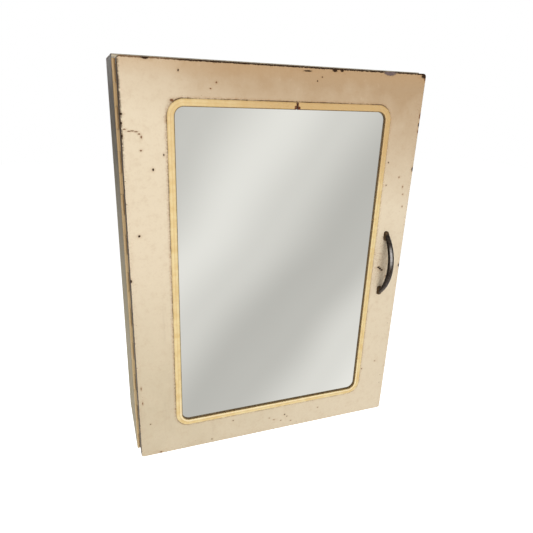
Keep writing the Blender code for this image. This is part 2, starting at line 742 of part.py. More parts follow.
def main():
    make_materials()
    make_side_panels()
    make_end_panel("top_panel", 1)
    make_end_panel("bottom_panel", -1)
    make_back_panel()
    make_shelves()
    make_hinge()
    skin = make_door_skin()
    cover = make_door_cover()
    make_mirror()
    make_bead()
    make_mirror_clips()
    make_handle(skin)
    make_cover_screws(skin, cover)
    side = parts.objects["side_panel_right"]
    make_catch(side, skin, cover)
    make_buffers(side)
    hang_door()
    for obj in parts.objects:
        if obj.type == "MESH":
            obj.data.shade_smooth()
            obj.data.set_sharp_from_angle(angle=math.radians(35))


clear_scene()
parts = new_collection("medicine_cabinet")
cutters = new_collection("cutters")
main()
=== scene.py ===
"""The looks of an old enamelled medicine cabinet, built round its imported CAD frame.

Everything is in metres in the frame of the CAD: +Z up, the door faces -Y, and the cabinet's back is at y = 0.
Marks on the door are placed in millimetres from its top left corner, seen from the front.
"""

import math

import bmesh
import bpy
from mathutils import Matrix, Vector, noise


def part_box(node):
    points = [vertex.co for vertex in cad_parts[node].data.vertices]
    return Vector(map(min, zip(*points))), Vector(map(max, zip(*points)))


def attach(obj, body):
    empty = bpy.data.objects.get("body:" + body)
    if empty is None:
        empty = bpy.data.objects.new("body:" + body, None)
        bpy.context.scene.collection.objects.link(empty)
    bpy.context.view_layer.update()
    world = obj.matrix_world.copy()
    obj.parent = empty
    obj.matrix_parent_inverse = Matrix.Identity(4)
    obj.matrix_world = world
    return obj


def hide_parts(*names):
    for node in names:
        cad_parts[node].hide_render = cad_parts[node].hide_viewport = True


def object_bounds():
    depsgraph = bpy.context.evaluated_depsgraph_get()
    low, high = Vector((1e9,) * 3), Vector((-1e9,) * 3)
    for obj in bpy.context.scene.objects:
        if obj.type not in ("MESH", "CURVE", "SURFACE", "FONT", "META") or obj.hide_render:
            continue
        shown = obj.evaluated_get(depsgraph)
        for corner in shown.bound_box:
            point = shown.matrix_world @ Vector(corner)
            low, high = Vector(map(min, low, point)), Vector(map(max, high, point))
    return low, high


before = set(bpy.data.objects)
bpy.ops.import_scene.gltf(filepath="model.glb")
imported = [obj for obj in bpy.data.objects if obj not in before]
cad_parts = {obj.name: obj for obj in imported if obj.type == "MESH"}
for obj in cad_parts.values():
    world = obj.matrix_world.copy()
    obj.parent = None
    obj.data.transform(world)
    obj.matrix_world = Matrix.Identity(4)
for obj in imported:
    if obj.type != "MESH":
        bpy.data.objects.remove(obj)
CAD_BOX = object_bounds()

MM = 0.001

# Places that the CAD gives
DOOR_LOW, DOOR_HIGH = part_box("door_skin")
BEAD_LOW, BEAD_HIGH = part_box("mirror_bead")
GLASS_LOW, GLASS_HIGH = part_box("mirror_glass")
HANDLE_LOW, HANDLE_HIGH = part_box("handle")
HANDLE_X = (HANDLE_LOW.x + HANDLE_HIGH.x) / 2
HANDLE_Z = (HANDLE_LOW.z + HANDLE_HIGH.z) / 2
BODY_LOW = CAD_BOX[0]
BODY_HIGH = CAD_BOX[1]
DOOR_FACE = DOOR_LOW.y
DOOR_WIDTH = DOOR_HIGH.x - DOOR_LOW.x
DOOR_HEIGHT = DOOR_HIGH.z - DOOR_LOW.z
DOOR_MIDDLE = (DOOR_LOW + DOOR_HIGH) / 2
BEAD_MIDDLE = (BEAD_LOW + BEAD_HIGH) / 2
BEAD_WIDTH = BEAD_HIGH.x - BEAD_LOW.x
BEAD_HEIGHT = BEAD_HIGH.z - BEAD_LOW.z

# Door sheet
SHEET = 1.0 * MM
DOOR_CORNER = 4.0 * MM
DOOR_BEND = 1.2 * MM
BEND_STEPS = 6
HEM = 20.0 * MM
HEM_CORNER = 3.0 * MM
FACE_RINGS = 12
DENT = 0.16 * MM
DENT_LENGTH = 70.0 * MM

# Bead round the mirror
BEAD_CORNER = 20.0 * MM
BEAD_SIZE = 9.0 * MM
BEAD_LIP = 2.6 * MM
BEAD_CROWN = DOOR_FACE - BEAD_LOW.y
BEAD_EDGE = 0.9 * MM
BEAD_SHOULDER = 0.6
BEAD_HOLLOW = 0.3 * MM
BEAD_HOLLOW_WIDTH = 0.13
BEAD_CURVE_STEPS = 22
BEAD_JOINT_X = 13.0 * MM
BEAD_JOINT_OUTER = 0.5 * MM
BEAD_JOINT_INNER = 1.5 * MM
FIT = 0.3 * MM

# Handle
HANDLE_ARC = 67.0 * MM
HANDLE_DEPTH = 6.0 * MM
HANDLE_TAPER = 0.3
HANDLE_STEPS = 48
SECTION_STEPS = 20
FOOT_LENGTH = 14.0 * MM
FOOT_WIDTH = 7.8 * MM
FOOT_HEIGHT = 4.2 * MM
FOOT_SPACING = 87.0 * MM
# (share of a foot's height, size of its outline there)
FOOT_LEVELS = ((0.0, 1.0), (0.35, 1.02), (0.7, 0.94), (0.92, 0.76), (1.0, 0.5))
# Fineness of the remesh that melts the bow and its feet together
VOXEL = 0.45 * MM

# Camera: where it stands, where it looks and its focal length in millimetres
CAMERA_PLACE = (-0.2368, -0.71225, 0.2342)
CAMERA_FORWARD = (0.33426, 0.87764, -0.34355)
CAMERA_UP = (0.08414, 0.33527, 0.93836)
LENS = 32.04

# Lights, in watts, and the strengths of what glows
KEY_POWER = 58.5
LOW_LEFT_POWER = 1.2
RIGHT_POWER = 12.0
BEHIND_POWER = 22.0
AMBIENT = 0.34
FLOOR_GLOW = 0.75

# The floor: how far below the cabinet, which hangs on a wall
FLOOR_DROP = 0.9

# Grey card that the mirror reflects. Each band is (place across the card, grey), and the bands sway a little.
CARD_GLOW = 1.13
CARD_DISTANCE = 0.34
CARD_HALF_WIDTH = 0.55
CARD_HALF_HEIGHT = 0.85
BANDS = ((0.0, 186), (0.10, 194), (0.26, 222), (0.40, 206), (0.56, 182), (0.66, 186), (0.82, 214), (1.0, 229))
BAND_SLANT = (1.15, 0.0, -0.85)
BAND_SWAY = 0.16
BAND_SWAY_SIZE = 1 / 2.6

# Rust and dirt specks: how soon one reaches its full size, and how soft its rim is
SPECK_GROWTH = 12.0
SPECK_RIM = 0.04


def srgb(red, green, blue):
    """A linear colour from a paint chart's 0 to 255 values."""
    channels = []
    for value in (red, green, blue):
        share = value / 255
        channels.append(share / 12.92 if share <= 0.04045 else ((share + 0.055) / 1.055) ** 2.4)
    return (*channels, 1.0)


# ---------------------------------------------------------------- node trees


class Paint:
    """One material's node tree, with short names for the nodes that it needs."""

    def __init__(self, name):
        self.material = bpy.data.materials.new(name)
        self.material.use_nodes = True
        self.tree = self.material.node_tree
        self.shader = self.tree.nodes["Principled BSDF"]
        self.place = self.new("ShaderNodeTexCoord").outputs["Object"]
        self.x, self.y, self.z = self.new_with("ShaderNodeSeparateXYZ", self.place).outputs

    def new(self, kind, **settings):
        node = self.tree.nodes.new(kind)
        for key, value in settings.items():
            setattr(node, key, value)
        return node

    def new_with(self, kind, *values, **settings):
        """A node whose first inputs take these values or sockets."""
        node = self.new(kind, **settings)
        for socket, value in zip(node.inputs, values):
            self.feed(socket, value)
        return node

    def feed(self, socket, value):
        if isinstance(value, bpy.types.NodeSocket):
            self.tree.links.new(value, socket)
        else:
            socket.default_value = value

    def set(self, **values):
        """Shader inputs by name, with _ for a space."""
        for key, value in values.items():
            self.feed(self.shader.inputs[key.replace("_", " ")], value)

    def math(self, operation, *values, clamp=False):
        return self.new_with("ShaderNodeMath", *values, operation=operation, use_clamp=clamp).outputs[0]

    def add(self, *values):
        total = values[0]
        for value in values[1:]:
            total = self.math("ADD", total, value)
        return total

    def times(self, *values):
        total = values[0]
        for value in values[1:]:
            total = self.math("MULTIPLY", total, value)
        return total

    def most(self, *values):
        total = values[0]
        for value in values[1:]:
            total = self.math("MAXIMUM", total, value)
        return total

    def least(self, *values):
        total = values[0]
        for value in values[1:]:
            total = self.math("MINIMUM", total, value)
        return total

    def minus(self, first, second):
        return self.math("SUBTRACT", first, second)

    def distance(self, first, second):
        """The length of the two as the sides of a right angle."""
        return self.math("SQRT", self.add(self.math("POWER", first, 2.0), self.math("POWER", second, 2.0)))

    def vector(self, operation, *values):
        node = self.new_with("ShaderNodeVectorMath", *values, operation=operation)
        return node.outputs["Value" if operation == "LENGTH" else "Vector"]

    def stretched(self, scale, turn=0.0, about="Y"):
        """The place, turned about one axis by an angle in degrees and then scaled along each."""
        node = self.new("ShaderNodeMapping", vector_type="POINT")
        self.feed(node.inputs["Vector"], self.place)
        node.inputs["Rotation"].default_value["XYZ".index(about)] = math.radians(turn)
        node.inputs["Scale"].default_value = scale
        return node.outputs["Vector"]

    def noise(self, size, detail=3.0, rough=0.55, place=None):
        """Noise from 0 to 1 with blotches of about this size in metres."""
        node = self.new("ShaderNodeTexNoise")
        self.feed(node.inputs["Vector"], place or self.place)
        node.inputs["Scale"].default_value = 1.0 / size
        node.inputs["Detail"].default_value = detail
        node.inputs["Roughness"].default_value = rough
        return node.outputs["Fac"]

    def cells(self, size):
        """(distance from a cell's point as a share of the size, a number from 0 to 1 for that cell)."""
        node = self.new("ShaderNodeTexVoronoi")
        self.feed(node.inputs["Vector"], self.place)
        node.inputs["Scale"].default_value = 1.0 / size
        number = self.new_with("ShaderNodeSeparateColor", node.outputs["Color"]).outputs[0]
        return node.outputs["Distance"], number

    def specks(self, size, share, largest):
        """Round specks in this share of the cells, up to largest as a share of the cell's size."""
        distance, number = self.cells(size)
        above = self.minus(number, self.minus(1.0, share))
        radius = self.times(self.least(self.times(above, SPECK_GROWTH), 1.0), largest)
        return self.step(self.minus(distance, radius), 0.0, -SPECK_RIM)

    def step(self, value, low, high, first=0.0, second=1.0):
        """Runs smoothly from first, where value is low, to second, where it is high."""
        node = self.new_with(
            "ShaderNodeMapRange", value, low, high, first, second, interpolation_type="SMOOTHSTEP", clamp=True
        )
        return node.outputs["Result"]

    def mix(self, share, first, second):
        """The first colour where the share is 0, the second where it is 1."""
        node = self.new("ShaderNodeMix", data_type="RGBA")
        self.feed(node.inputs[0], share)
        self.feed(node.inputs[6], first)
        self.feed(node.inputs[7], second)
        return node.outputs[2]

    def bump(self, height, depth):
        """Bump from a height of 0 to 1, this deep in metres."""
        node = self.new("ShaderNodeBump")
        self.feed(node.inputs["Height"], height)
        node.inputs["Distance"].default_value = depth
        self.tree.links.new(node.outputs["Normal"], self.shader.inputs["Normal"])

    def marks(self, places, grain=0.5, soft=0.25):
        """Where these marks on the door are, with edges this ragged and this soft."""
        near = 9.0
        for left, top, wide, tall in places:
            centre = (DOOR_LOW.x + left * MM, DOOR_FACE, DOOR_HIGH.z - top * MM)
            offset = self.vector("SUBTRACT", self.place, centre)
            deep = 2.2 * max(wide, tall)
            scaled = self.vector("MULTIPLY", offset, (1 / (wide * MM), 1 / (deep * MM), 1 / (tall * MM)))
            near = self.least(near, self.vector("LENGTH", scaled))
        ragged = self.times(self.minus(self.noise(0.9 * MM, 4.0, 0.7), 0.5), grain * 2)
        return self.step(self.add(near, ragged), 0.92 + soft, 0.92 - soft)

    def frame_distance(self, middle, width, height, corner):
        """Distance out from a rounded rectangle in the door's plane: below 0 inside it."""
        offset = self.vector("ABSOLUTE", self.vector("SUBTRACT", self.place, tuple(middle)))
        half = (width / 2 - corner, 0.0, height / 2 - corner)
        beyond = self.vector("MULTIPLY", self.vector("SUBTRACT", offset, half), (1.0, 0.0, 1.0))
        outside = self.vector("LENGTH", self.vector("MAXIMUM", beyond, (0.0, 0.0, 0.0)))
        over_x, _, over_z = self.new_with("ShaderNodeSeparateXYZ", beyond).outputs
        inside = self.least(self.most(over_x, over_z), 0.0)
        return self.minus(self.add(outside, inside), corner)


# ---------------------------------------------------------------- the door's enamel

CREAM = srgb(231, 215, 188)
TAN = srgb(187, 158, 124)
DULL = srgb(209, 194, 166)
PALE = srgb(246, 228, 200)
UMBER = srgb(46, 24, 8)
RUST = srgb(118, 70, 36)
OCHRE = srgb(176, 136, 92)
BARE = srgb(108, 92, 92)
GRIME = srgb(70, 46, 22)
DRY_BROWN = srgb(124, 92, 64)
JOINT_BROWN = srgb(96, 40, 4)
TOP_SHADE_BROWN = srgb(196, 156, 110)
WARM = (1.0, 0.84, 0.62, 1.0)

# Each mark is (from the left, from the top, half width, half height) in millimetres on the door.
BLACK_CHIPS = (
    (34, 122, 1.1, 1.7),
    (14, 202, 1.6, 1.5),
    (66, 12, 0.9, 1.5),
    (245, 11, 0.9, 0.8),
    (239, 16, 1.0, 0.9),
    (47, 105, 0.8, 1.6),
    (357, 117, 0.7, 0.9),
    (358, 149, 0.8, 0.8),
    (225, 5.0, 6.0, 0.9),
    (262, 2.6, 3.4, 2.0),
    (272, 2.4, 2.6, 1.6),
    (30, 1.0, 4.6, 1.6),
    (397, 3, 5.0, 3.4),
    (1.4, 60, 1.8, 1.4),
    (1.0, 70, 1.4, 1.6),
    (1.2, 84, 1.0, 1.6),
    (1.0, 260, 1.3, 2.2),
    (362.5, 273.5, 2.6, 1.5),
    (365.5, 276, 2.4, 1.6),
    (368.5, 278.5, 2.2, 1.3),
    (398.6, 127, 1.5, 3.4),
    (398.8, 66, 1.3, 2.6),
    (398.8, 273, 1.6, 2.6),
    (222, 510, 1.1, 1.1),
    (226, 514, 0.9, 0.9),
    (15, 480, 0.8, 0.8),
    (137, 502, 1.0, 0.8),
    (104, 528, 0.9, 1.0),
)

RUSTY_CHIPS = (
    (110, 23, 1.1, 1.0),
    (21, 100, 1.2, 0.9),
    (103, 30, 1.1, 0.7),
    (378, 138, 0.9, 1.0),
    (377, 289, 1.1, 1.2),
    (398.5, 7, 1.4, 2.4),
    (398.8, 54, 1.4, 4.0),
    (398.8, 75, 1.0, 2.4),
    (386, 152, 0.8, 1.6),
    (388, 163, 0.9, 0.8),
    (390, 181, 0.8, 1.2),
    (5, 419, 0.7, 2.4),
    (6, 443, 0.7, 2.6),
    (28, 532, 1.8, 1.2),
    (52, 462, 1.4, 1.0),
    (196, 511, 1.0, 0.6),
    (204, 516, 1.4, 0.6),
    (216, 520, 1.0, 0.7),
    (233, 524, 1.3, 0.6),
    (280, 509, 1.0, 0.6),
    (355, 450, 1.0, 0.9),
    (378, 439, 0.9, 0.8),
    (58, 44, 2.2, 1.6),
    (52, 66, 1.4, 1.6),
    (4, 76.5, 1.8, 0.6),
    (9, 78.6, 2.0, 0.6),
    (12.6, 78.2, 2.2, 0.6),
    (16.6, 79, 2.2, 0.6),
    (20, 81.5, 1.4, 0.9),
    (22.3, 84.8, 1.0, 1.6),
)

BARE_CHIPS = ((343, 1.8, 9.5, 3.4),)

BEAD_JOINT_STAINS = ((213, 44, 2.0, 3.6), (212, 48.4, 3.2, 3.4), (215, 48.8, 2.6, 2.9))


def cream_with_painted_shade(paint, left, down):
    """Cream enamel with painted shade: tan towards the top right and browner along the top edge, with some
    yellowing there too, and grey towards the bottom left.
    """
    across = paint.math("DIVIDE", left, DOOR_WIDTH)
    reach = paint.add(paint.times(across, 0.135), 0.055)
    fall = paint.math("SUBTRACT", 1.0, paint.math("DIVIDE", down, reach), clamp=True)
    amount = paint.step(left, 0.0, 0.15, 0.4, 1.15)
    uneven = paint.step(paint.noise(45 * MM), 0.3, 0.7, 0.86, 1.12)
    # Painted shade with some yellowing: tan towards the top right
    top_shade_and_yellowing = paint.math("MULTIPLY", paint.times(fall, amount), uneven, clamp=True)
    # Painted shade: grey towards the bottom left
    low = paint.step(down, 0.2, 0.45)
    low_left_shade = paint.times(low, paint.step(across, 0.0, 1.0, 1.0, 0.25), uneven)
    colour = paint.mix(paint.times(low_left_shade, 0.9), CREAM, DULL)
    colour = paint.mix(top_shade_and_yellowing, colour, TAN)
    # Painted shade with some yellowing: browner along the top edge
    return paint.mix(paint.step(down, 24 * MM, 2 * MM, 0.0, 0.3), colour, TOP_SHADE_BROWN)


def door_enamel():
    """Enamel over pressed steel: chips, rust specks, a dark top edge of wear and painted shade, painted shade
    in the cream and beside the hinge, and grime along the bead.
    """
    paint = Paint("door_enamel")
    left = paint.minus(paint.x, DOOR_LOW.x)
    right = paint.minus(DOOR_HIGH.x, paint.x)
    down = paint.minus(DOOR_HIGH.z, paint.z)
    up = paint.minus(paint.z, DOOR_LOW.z)
    deep = paint.minus(paint.y, DOOR_FACE)
    colour = cream_with_painted_shade(paint, left, down)

    # Mottling and faint drips
    mottle = paint.noise(9 * MM, 5.0, 0.65)
    colour = paint.mix(paint.step(mottle, 0.45, 0.85, 0.0, 0.22), colour, OCHRE)
    colour = paint.mix(paint.step(mottle, 0.42, 0.2, 0.0, 0.14), colour, PALE)
    fine = paint.noise(3.2 * MM, 4.0, 0.6)
    colour = paint.mix(paint.step(fine, 0.5, 0.75, 0.0, 0.10), colour, OCHRE)
    streaks = paint.noise(30 * MM, 6.0, 0.7, paint.stretched((1.0, 1.0, 0.12), 4.0))
    colour = paint.mix(paint.step(streaks, 0.55, 0.8, 0.0, 0.14), colour, RUST)

    ragged = paint.noise(2.2 * MM, 5.0, 0.7)
    uneven = paint.minus(ragged, 0.5)
    broad = paint.noise(24 * MM, 2.0)
    out = paint.frame_distance(BEAD_MIDDLE, BEAD_WIDTH, BEAD_HEIGHT, BEAD_CORNER)
    edge = paint.distance(paint.least(left, right, down, up), deep)

    # Darker where hands reach for the handle
    from_handle = paint.vector("SUBTRACT", paint.place, (HANDLE_X, DOOR_FACE, HANDLE_Z))
    from_handle = paint.vector("MULTIPLY", from_handle, (1 / (15 * MM), 1 / (60 * MM), 1 / (60 * MM)))
    handled = paint.step(paint.vector("LENGTH", from_handle), 1.2, 0.6)
    colour = paint.mix(paint.times(handled, paint.step(ragged, 0.42, 0.7), 0.5), colour, OCHRE)

    # Specks, closer together at the edges, along the bead, round the handle and at the top right
    density = paint.add(
        0.035,
        paint.step(edge, 14 * MM, 2 * MM, 0.0, 0.12),
        paint.step(out, 9 * MM, 1 * MM, 0.0, 0.14),
        paint.times(paint.step(right, 34 * MM, 12 * MM), paint.step(down, 0.21, 0.12), 0.10),
        paint.times(handled, 0.2),
    )
    specks = paint.specks(5.5 * MM, density, 0.14)
    tiny = paint.specks(2.2 * MM, paint.times(density, 0.9), 0.2)
    yellow_edge = paint.times(paint.step(edge, 9 * MM, 0.0), paint.step(ragged, 0.45, 0.7), 0.35)
    colour = paint.mix(yellow_edge, colour, OCHRE)
    colour = paint.mix(paint.times(tiny, 0.6), colour, RUST)
    colour = paint.mix(paint.times(specks, 0.85), colour, RUST)

    # Grime along the bead
    halo = paint.times(paint.step(out, 4.5 * MM, 0.4 * MM), paint.step(ragged, 0.35, 0.75), 0.75)
    seam_reach = paint.step(up, 70 * MM, 45 * MM, 1.3 * MM, 2.2 * MM)
    seam = paint.times(paint.step(out, seam_reach, 0.5 * MM), paint.step(paint.add(ragged, broad), 0.8, 1.15))
    seam = paint.times(seam, paint.step(down, 60 * MM, 42 * MM, 0.5, 0.9))
    colour = paint.mix(halo, colour, OCHRE)
    colour = paint.mix(seam, colour, GRIME)

    # Worn edges and chips
    # Dark line along the top edge: painted shade and worn paint
    top_wear_and_shade_reach = paint.minus(paint.distance(down, deep), paint.step(left, 0.04, 0.08, 0.0, 0.25 * MM))
    top_wear_and_shade = paint.step(paint.add(top_wear_and_shade_reach, paint.times(uneven, -3.4 * MM)), 2.0 * MM, 1.2 * MM)
    rim = paint.step(paint.add(edge, paint.times(ragged, 5.5 * MM)), 3.4 * MM, 2.4 * MM)
    chewed = paint.times(paint.step(left, 3.0 * MM, 1.2 * MM), paint.step(down, 0.13, 0.09))
    chewed = paint.times(chewed, paint.step(ragged, 0.42, 0.52))
    black = paint.marks(BLACK_CHIPS)
    rusty = paint.marks(RUSTY_CHIPS, 0.7)
    bare = paint.marks(BARE_CHIPS, 0.6)
    stains = [(x, y, 1.8 * wide + 0.6, 1.8 * tall + 0.6) for x, y, wide, tall in BLACK_CHIPS + RUSTY_CHIPS]
    colour = paint.mix(paint.times(paint.marks(stains, 0.9, 0.6), 0.28), colour, OCHRE)
    colour = paint.mix(paint.times(rusty, 0.9), colour, RUST)
    colour = paint.mix(rim, colour, UMBER)
    colour = paint.mix(top_wear_and_shade, colour, paint.mix(paint.step(left, 0.04, 0.08), DRY_BROWN, UMBER))
    colour = paint.mix(paint.times(chewed, 0.85), colour, UMBER)
    colour = paint.mix(black, colour, UMBER)
    colour = paint.mix(paint.times(bare, paint.step(ragged, 0.3, 0.5, 0.45, 1.0)), colour, BARE)

    # Painted shade with some grime: the dark line beside the hinge, on the face's left edge and on the left
    # return
    hinge_shade_line = paint.step(paint.add(left, paint.times(uneven, 1.2 * MM)), 0.95 * MM, 0.45 * MM)
    hinge_return_shade = paint.times(paint.step(left, 1.4 * MM, 0.8 * MM), paint.step(deep, 0.2 * MM, 0.5 * MM))
    colour = paint.mix(paint.most(hinge_shade_line, hinge_return_shade), colour, UMBER)

    lost = paint.most(black, rusty, bare, top_wear_and_shade, rim)
    peel = paint.noise(1.6 * MM, 2.0)
    lumps = paint.noise(7 * MM, 3.0)
    relief = paint.add(paint.times(peel, 0.10), paint.times(lumps, 0.32), paint.times(lost, -0.8),
                       paint.times(specks, 0.35))
    paint.bump(relief, 0.35 * MM)
    gloss = paint.add(0.38, paint.times(mottle, 0.16), paint.times(lost, 0.35), paint.times(specks, 0.2))
    paint.set(Base_Color=colour, Roughness=gloss, Specular_IOR_Level=0.25, Specular_Tint=WARM)
    return paint.material


# ---------------------------------------------------------------- the other materials


def body_enamel(name, light, dark, wear=0.5, within=None):
    """Duller enamel for sheet parts: dark high up and light low down, which is painted shade and grime, light
    on top, or another colour within.
    """
    paint = Paint(name)
    broad = paint.noise(60 * MM, 4.0, 0.6)
    ragged = paint.noise(3.0 * MM, 5.0, 0.7)
    # Painted shade and grime: darker high up, lighter low down
    low = paint.step(paint.z, BODY_HIGH.z, BODY_LOW.z + 0.12)
    on_top = paint.step(paint.minus(BODY_HIGH.z, paint.z), 0.5 * MM, 0.2 * MM, 0.0, 0.7)
    shade_and_grime_lightness = paint.add(paint.most(low, on_top), paint.times(paint.minus(broad, 0.5), 0.5))
    colour = paint.mix(shade_and_grime_lightness, dark, light)
    if within:
        sides = paint.least(paint.minus(paint.x, BODY_LOW.x), paint.minus(BODY_HIGH.x, paint.x))
        ends = paint.least(paint.minus(paint.z, BODY_LOW.z), paint.minus(BODY_HIGH.z, paint.z))
        colour = paint.mix(paint.step(paint.least(sides, ends), 0.3 * MM, 0.7 * MM), colour, within)
    streaks = paint.noise(14 * MM, 5.0, 0.65, paint.stretched((1.0, 1.0, 0.14)))
    colour = paint.mix(paint.step(streaks, 0.5, 0.8, 0.0, 0.07), colour, GRIME)
    colour = paint.mix(paint.step(paint.noise(26 * MM, 5.0, 0.6), 0.6, 0.3, 0.0, 0.07), colour, PALE)
    specks = paint.specks(7 * MM, 0.05 + 0.05 * wear, 0.13)
    tiny = paint.specks(3 * MM, 0.08 * wear, 0.16)

    # Rubbed where a bevelled normal leans away from the true one, which is along corners
    bevel = paint.new("ShaderNodeBevel", samples=4)
    bevel.inputs["Radius"].default_value = 1.4 * MM
    normal = paint.new("ShaderNodeNewGeometry").outputs["Normal"]
    lean = paint.new_with("ShaderNodeVectorMath", bevel.outputs["Normal"], normal, operation="DOT_PRODUCT")
    corner = paint.step(lean.outputs["Value"], 0.985, 0.86)
    rubbed = paint.times(corner, paint.step(ragged, 0.5, 0.62), wear)

    colour = paint.mix(paint.times(tiny, 0.7), colour, RUST)
    colour = paint.mix(paint.times(specks, 0.85), colour, UMBER)
    colour = paint.mix(rubbed, colour, GRIME)
    relief = paint.add(paint.times(paint.noise(1.8 * MM, 2.0), 0.14), paint.times(ragged, 0.12),
                       paint.times(paint.most(specks, rubbed), -0.5))
    paint.bump(relief, 0.3 * MM)
    gloss = paint.add(0.46, paint.times(broad, 0.22), paint.times(paint.most(specks, rubbed), 0.3))
    paint.set(Base_Color=colour, Roughness=gloss, Specular_IOR_Level=0.25, Specular_Tint=WARM)
    return paint.material


def bead_plastic():
    """Yellowed plastic bead, dark brown on its side towards the glass, with a painted highlight on its bottom
    crest, painted shade with some yellowing towards the top right, and dirty along its outer edge.
    """
    paint = Paint("bead_plastic")
    out = paint.frame_distance(BEAD_MIDDLE, BEAD_WIDTH, BEAD_HEIGHT, BEAD_CORNER)
    down = paint.minus(BEAD_HIGH.z, paint.z)
    yellow = srgb(228, 198, 138)
    straw = srgb(240, 218, 164)
    honey = srgb(208, 172, 118)
    toffee = srgb(88, 62, 26)
    cream = srgb(255, 240, 204)
    run = paint.noise(12 * MM, 4.0, 0.6)
    ragged = paint.noise(1.6 * MM, 5.0, 0.7)
    colour = paint.mix(paint.step(run, 0.3, 0.7), straw, yellow)
    # Painted shade with some yellowing: darker honey towards the top and the right
    top_right_shade = paint.times(paint.step(down, 150 * MM, 40 * MM), paint.step(paint.x, -0.13, 0.0, 0.25, 0.9))
    colour = paint.mix(top_right_shade, colour, honey)

    # The dark brown side towards the glass, a painted highlight along the crest beside it low down, and the
    # hollow between the two ridges
    inner = -BEAD_SIZE
    sunk = paint.minus(paint.y, DOOR_FACE - BEAD_EDGE)
    wall = paint.step(out, inner + 1.3 * MM, inner + 0.8 * MM)
    wall = paint.times(wall, paint.step(sunk, -0.75 * MM, -0.35 * MM))
    colour = paint.mix(paint.times(wall, paint.step(ragged, 0.3, 0.7, 0.8, 1.0)), colour, toffee)
    off_crest = paint.math("ABSOLUTE", paint.minus(out, inner + 2.5 * MM))
    painted_crest_highlight = paint.step(off_crest, 1.2 * MM, 0.4 * MM)
    painted_crest_highlight = paint.times(painted_crest_highlight, paint.step(paint.z, BEAD_LOW.z + 0.07, BEAD_LOW.z + 0.03))
    colour = paint.mix(paint.times(painted_crest_highlight, 0.65), colour, cream)
    off_hollow = paint.math("ABSOLUTE", paint.add(out, BEAD_SIZE * 0.5))
    colour = paint.mix(paint.step(off_hollow, 1.3 * MM, 0.3 * MM, 0.0, 0.3), colour, honey)

    # The outer edge, the joint at the top, and specks
    rim = paint.times(paint.step(out, -1.3 * MM, -0.3 * MM), paint.step(ragged, 0.3, 0.65, 0.35, 1.0))
    colour = paint.mix(paint.times(rim, 0.4), colour, OCHRE)
    dirt = paint.times(paint.step(out, -0.7 * MM, -0.1 * MM), paint.step(paint.add(run, ragged), 0.95, 1.2))
    colour = paint.mix(paint.times(dirt, 0.6), colour, GRIME)
    colour = paint.mix(paint.marks(BEAD_JOINT_STAINS, 0.4), colour, JOINT_BROWN)
    specks = paint.specks(3.2 * MM, 0.06, 0.14)
    colour = paint.mix(paint.times(specks, 0.6), colour, RUST)
    scuff = paint.noise(0.8 * MM, 3.0, 0.6, paint.stretched((0.3, 1.0, 0.3)))
    paint.bump(paint.add(paint.times(scuff, 0.4), paint.times(run, 0.5)), 0.12 * MM)
    rough = paint.add(0.24, paint.times(ragged, 0.22))
    paint.set(Base_Color=colour, Roughness=rough, Specular_IOR_Level=0.3, Specular_Tint=WARM,
              Subsurface_Weight=0.06, Subsurface_Radius=(0.004, 0.003, 0.0015), Subsurface_Scale=0.5)
    return paint.material


def mirror_silver():
    """Silvered glass with the first dark spots of age at its rim."""
    paint = Paint("mirror_silver")
    out = paint.frame_distance(BEAD_MIDDLE, BEAD_WIDTH, BEAD_HEIGHT, BEAD_CORNER)
    near_rim = paint.step(out, -26 * MM, -BEAD_SIZE)
    spots = paint.specks(4.5 * MM, paint.times(near_rim, 0.06), 0.1)
    haze = paint.noise(90 * MM, 3.0)
    colour = paint.mix(paint.times(haze, 0.35), (0.93, 0.935, 0.915, 1.0), (0.89, 0.895, 0.87, 1.0))
    colour = paint.mix(paint.times(spots, 0.7), colour, (0.16, 0.14, 0.12, 1.0))
    wipe = paint.noise(25 * MM, 5.0, 0.7, paint.stretched((1.0, 1.0, 0.35), 35.0))
    rough = paint.add(0.012, paint.times(paint.step(wipe, 0.45, 0.8), 0.02), paint.times(spots, 0.3))
    paint.set(Base_Color=colour, Metallic=1.0, Roughness=rough)
    return paint.material


def hardboard():
    """Pressed wood fibre behind the mirror."""
    paint = Paint("hardboard")
    fibre = paint.noise(1.4 * MM, 6.0, 0.75, paint.stretched((0.35, 1.0, 1.0), 30.0))
    cross = paint.noise(1.1 * MM, 6.0, 0.75, paint.stretched((1.0, 1.0, 0.35), -20.0))
    mesh = paint.times(paint.add(fibre, cross), 0.5)
    colour = paint.mix(paint.step(mesh, 0.35, 0.65), srgb(92, 62, 38), srgb(140, 104, 70))
    colour = paint.mix(paint.step(paint.noise(40 * MM), 0.55, 0.8, 0.0, 0.4), colour, srgb(60, 42, 28))
    paint.bump(mesh, 0.25 * MM)
    paint.set(Base_Color=colour, Roughness=paint.add(0.7, paint.times(mesh, 0.25)))
    return paint.material


